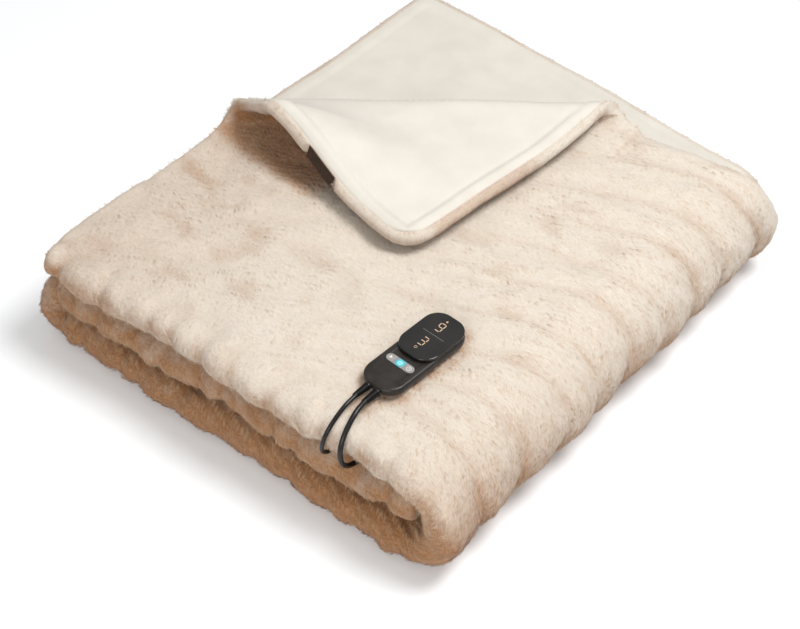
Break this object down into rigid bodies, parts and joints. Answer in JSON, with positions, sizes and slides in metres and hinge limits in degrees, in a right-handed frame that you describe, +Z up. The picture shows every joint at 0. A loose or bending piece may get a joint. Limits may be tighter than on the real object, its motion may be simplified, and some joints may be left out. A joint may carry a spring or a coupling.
{
  "type": "electric heated blanket, folded",
  "caption": "Heated throw of faux fur and fleece, folded in half and then in thirds, one corner turned back, hand controller on top",
  "frame": {"origin": "under the middle of the folded pile, on the surface that it rests on", "axes": "+Z up, +X along the front edge from the sheets' free ends to the wide roll, +Y from the front edge to the hems at the back"},
  "size_m": [0.6396, 0.7946, 0.2318],
  "materials": {
    "fur": "long soft faux fur in warm beige",
    "fleece": "short cream fleece",
    "label": "plain woven tape, dark brown",
    "controller_shell": "fine matte moulding, near black",
    "display_window": "polished smoked window",
    "keys": "grey soft-touch keys",
    "lead_rubber": "smooth black lead jacket",
    "plug_shell": "black moulded plug shell",
    "plug_pins": "bright plated pins"
  },
  "bodies": {
    "blanket": {"fur_face": "fur", "fleece_back": "fleece", "label": "label", "controller_housing": "controller_shell", "display_window": "display_window", "relief_control": "lead_rubber", "relief_mains": "lead_rubber", "control_lead": "lead_rubber", "mains_lead": "lead_rubber", "mains_coil": "lead_rubber", "plug_lead": "lead_rubber", "plug_relief": "lead_rubber", "plug_body": "plug_shell", "plug_pin_front": "plug_pins", "plug_pin_back": "plug_pins", "hem_connector": "plug_shell"},
    "left_key": {"key_left": "keys"},
    "middle_key": {"key_middle": "keys"},
    "right_key": {"key_right": "keys"}
  },
  "joints": [
    {"name": "left_key_push", "type": "slide", "parent": "blanket", "child": "left_key", "axis": [0, 0, -1], "range_m": [0, 0.0006], "stiffness_N_per_m": 800},
    {"name": "middle_key_push", "type": "slide", "parent": "blanket", "child": "middle_key", "axis": [0, 0, -1], "range_m": [0, 0.0006], "stiffness_N_per_m": 800},
    {"name": "right_key_push", "type": "slide", "parent": "blanket", "child": "right_key", "axis": [0, 0, -1], "range_m": [0, 0.0006], "stiffness_N_per_m": 800}
  ]
}
